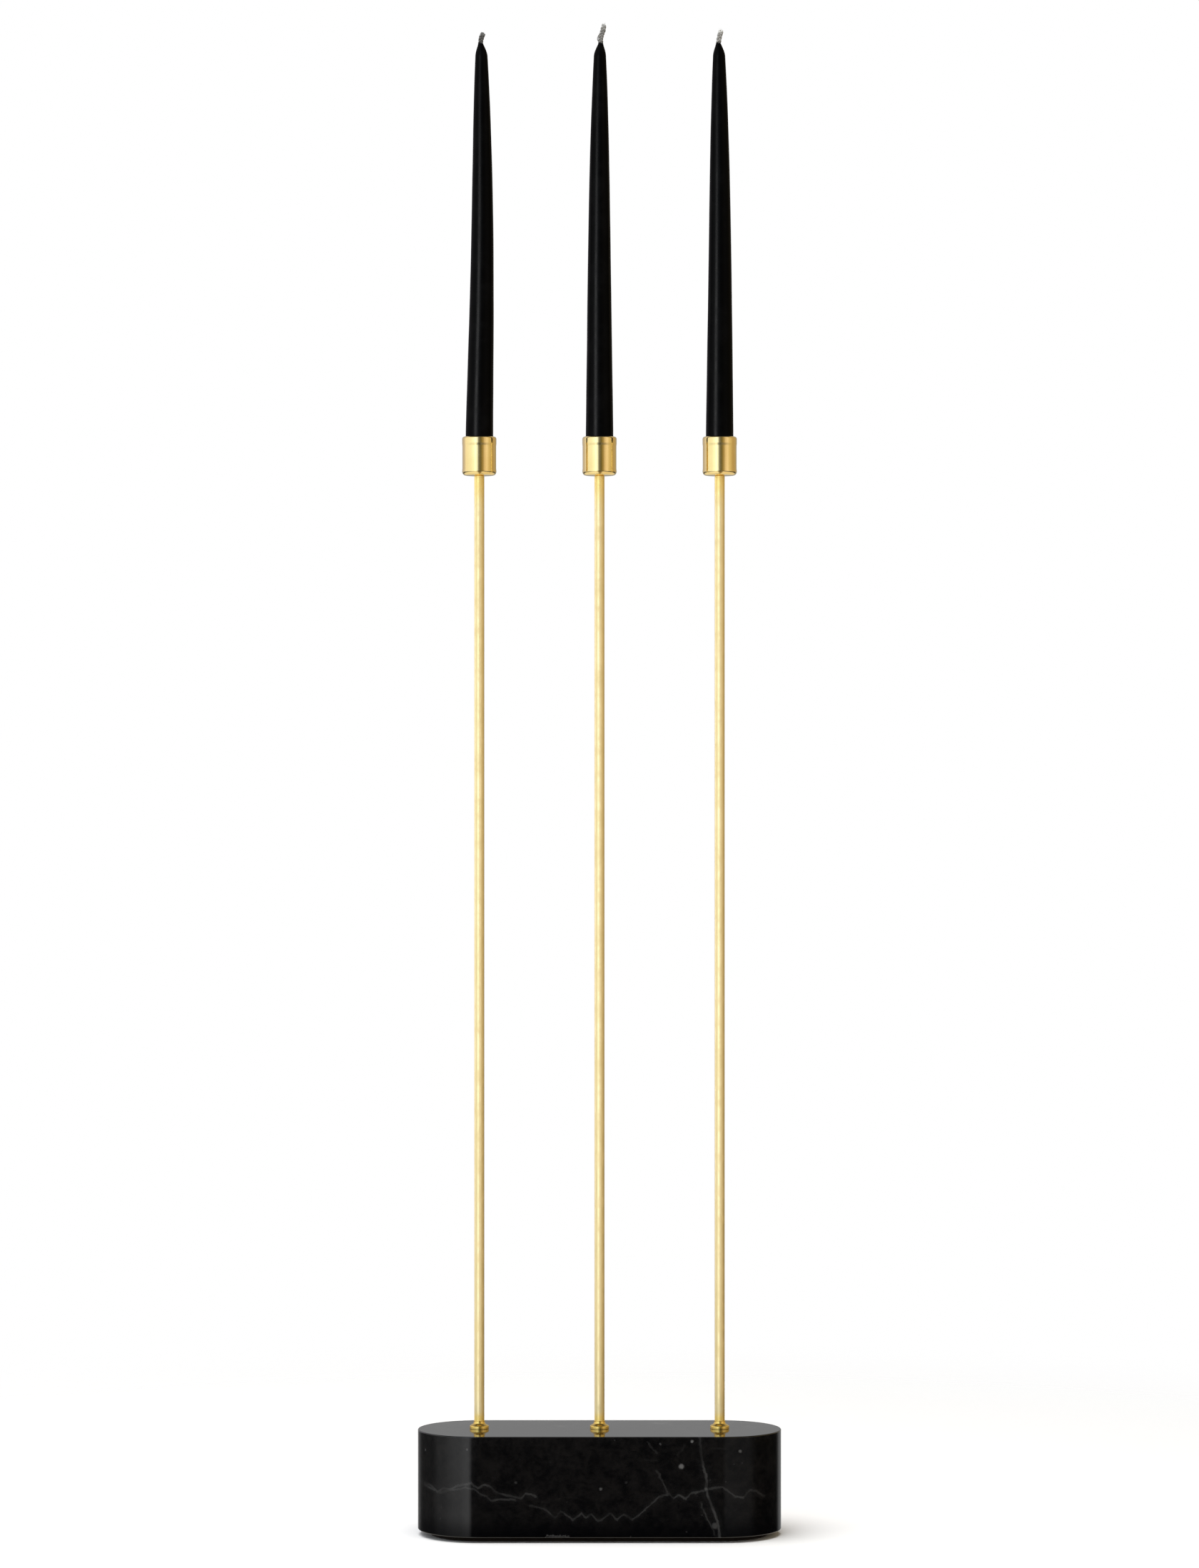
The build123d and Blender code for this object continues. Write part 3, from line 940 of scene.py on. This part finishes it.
def studio_world():
    """White for the camera; for reflections, a light tent whose brightness goes by direction."""
    world = bpy.data.worlds.new("studio")
    bpy.context.scene.world = world
    world.use_nodes = True
    tree = world.node_tree
    tree.nodes.clear()

    def node(kind, **settings):
        new = tree.nodes.new("ShaderNode" + kind)
        for key, value in settings.items():
            setattr(new, key, value)
        return new

    def maths(operation, *values):
        new = node("Math", operation=operation)
        for socket, value in zip(new.inputs, values):
            if isinstance(value, bpy.types.NodeSocket):
                tree.links.new(value, socket)
            else:
                socket.default_value = value
        return new.outputs[0]

    split = node("SeparateXYZ")
    tree.links.new(node("TexCoord").outputs["Generated"], split.inputs[0])
    x, y, z = split.outputs
    azimuth = maths("ARCTAN2", x, maths("MULTIPLY", y, -1.0))
    share = maths("MULTIPLY_ADD", azimuth, 0.5 / math.pi, 0.5)

    def round_the_tent(stops):
        """The colour of one band of the tent, by azimuth."""
        ramp = node("ValToRGB")
        ramp.color_ramp.interpolation = "EASE"
        elements = ramp.color_ramp.elements
        while len(elements) < len(stops):
            elements.new(0.5)
        for element, (degrees, level) in zip(elements, stops):
            element.position = (degrees + 180.0) / 360.0
            element.color = rgb(*level)
        tree.links.new(share, ramp.inputs[0])
        return ramp.outputs[0]

    colour = round_the_tent(TENT_FLOOR)
    for stops, low, high in TENT_BANDS:
        height = node("MapRange", interpolation_type="SMOOTHSTEP")
        height.inputs["From Min"].default_value = low
        height.inputs["From Max"].default_value = high
        tree.links.new(z, height.inputs["Value"])
        both = node("Mix", data_type="RGBA")
        tree.links.new(height.outputs["Result"], both.inputs[0])
        tree.links.new(colour, both.inputs[6])
        tree.links.new(round_the_tent(stops), both.inputs[7])
        colour = both.outputs[2]
    tent = node("Background")
    tent.inputs["Strength"].default_value = TENT_STRENGTH
    tree.links.new(colour, tent.inputs["Color"])
    seen = node("Background")
    seen.inputs["Color"].default_value = rgb(1.0, 1.0, 1.0)
    join = node("MixShader")
    tree.links.new(node("LightPath").outputs["Is Camera Ray"], join.inputs[0])
    tree.links.new(tent.outputs[0], join.inputs[1])
    tree.links.new(seen.outputs[0], join.inputs[2])
    tree.links.new(join.outputs[0], node("OutputWorld").inputs["Surface"])


def area_light(name, width, tall, energy, place, aim):
    """A rectangular soft light at a place, turned to face a point."""
    data = bpy.data.lights.new(name, "AREA")
    data.shape = "RECTANGLE"
    data.size = width
    data.size_y = tall
    data.energy = energy
    light = bpy.data.objects.new(name, data)
    light.location = place
    light.rotation_euler = (Vector(aim) - light.location).to_track_quat("-Z", "Y").to_euler()
    bpy.context.scene.collection.objects.link(light)
    return light


def overhead_light():
    """A broad soft light above, which lights the floor but is not seen in the polish."""
    side = OVERHEAD_SIDE
    light = area_light("overhead", side, side, OVERHEAD_ENERGY, OVERHEAD_PLACE, OVERHEAD_AIM)
    light.visible_glossy = False


def soft_boxes(pieces):
    """The lights that light only some pieces; pieces holds them by the name of their group."""
    for name, (group, azimuth, height, width, tall, energy) in SOFT_BOXES.items():
        turn = math.radians(azimuth)
        place = (SOFT_BOX_DISTANCE * math.sin(turn), -SOFT_BOX_DISTANCE * math.cos(turn), height)
        light = area_light(name, width, tall, energy, place, (0.0, 0.0, height))
        lit = bpy.data.collections.new(name)
        for obj in pieces[group]:
            lit.objects.link(obj)
        light.light_linking.receiver_collection = lit


def floor():
    """A pale floor that fades into the white all round."""
    reach = FLOOR_REACH
    corners = [(-reach, -reach, 0), (reach, -reach, 0), (reach, reach, 0), (-reach, reach, 0)]
    mesh = bpy.data.meshes.new("floor")
    mesh.from_pydata(corners, [], [(0, 1, 2, 3)])
    obj = bpy.data.objects.new("floor", mesh)
    bpy.context.scene.collection.objects.link(obj)
    obj.visible_glossy = False
    s = Shader("floor")
    place = s.node("TexCoord").outputs["Object"]
    far = s.node("VectorMath", {"operation": "LENGTH"}, Vector=place).outputs["Value"]
    clear = s.node("BsdfTransparent")
    join = s.node("MixShader")
    grey = rgb(FLOOR_GREY, FLOOR_GREY, FLOOR_GREY)
    s.finish(Base_Color=grey, Roughness=0.9, Specular_IOR_Level=0.0)
    s.put(join.inputs[0], s.ramp(far, *FLOOR_FADE))
    s.put(join.inputs[1], s.bsdf.outputs[0])
    s.put(join.inputs[2], clear.outputs[0])
    s.put(s.tree.nodes["Material Output"].inputs["Surface"], join.outputs[0])
    mesh.materials.append(s.material)


def camera():
    """The camera, level and square on."""
    data = bpy.data.cameras.new("camera")
    data.sensor_width = CAMERA_SENSOR
    data.lens = CAMERA_LENS
    data.clip_end = CAMERA_FAR
    obj = bpy.data.objects.new("camera", data)
    obj.location = (0.0, -CAMERA_DISTANCE, CAMERA_HEIGHT)
    obj.rotation_euler = (math.radians(90.0), 0.0, 0.0)
    bpy.context.scene.collection.objects.link(obj)
    bpy.context.scene.camera = obj


# ---------------------------------------------------------------- assembly


def paint(node, material):
    """Give a CAD node its material."""
    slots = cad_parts[node].data.materials
    slots.clear()
    slots.append(material)


def main():
    """The whole scene."""
    camera()
    bpy.context.scene.view_settings.view_transform = "Standard"
    studio_world()
    overhead_light()
    floor()

    brass = {
        kind: brass_material(f"{kind}_brass", *finish, painted_reflection_ends=kind == "rod")
        for kind, finish in BRASS_FINISHES.items()
    }
    wax = wax_material()
    steel = steel_material()
    tapers = []
    paint("marble_base", marble_material())
    felt(felt_material())
    for stem in STEMS:
        for kind, material in brass.items():
            paint(f"{stem}_{kind}", material)
        for kind in ("base_stud", "cup_stud", "washer", "lock_washer", "nut"):
            paint(f"{stem}_{kind}", steel)
        tapers.append(candle(stem, wax))
        wick(stem, wick_material(stem))
    rods = [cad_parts[f"{stem}_rod"] for stem in STEMS]
    soft_boxes({"tapers": tapers, "rods": rods})

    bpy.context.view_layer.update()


main()
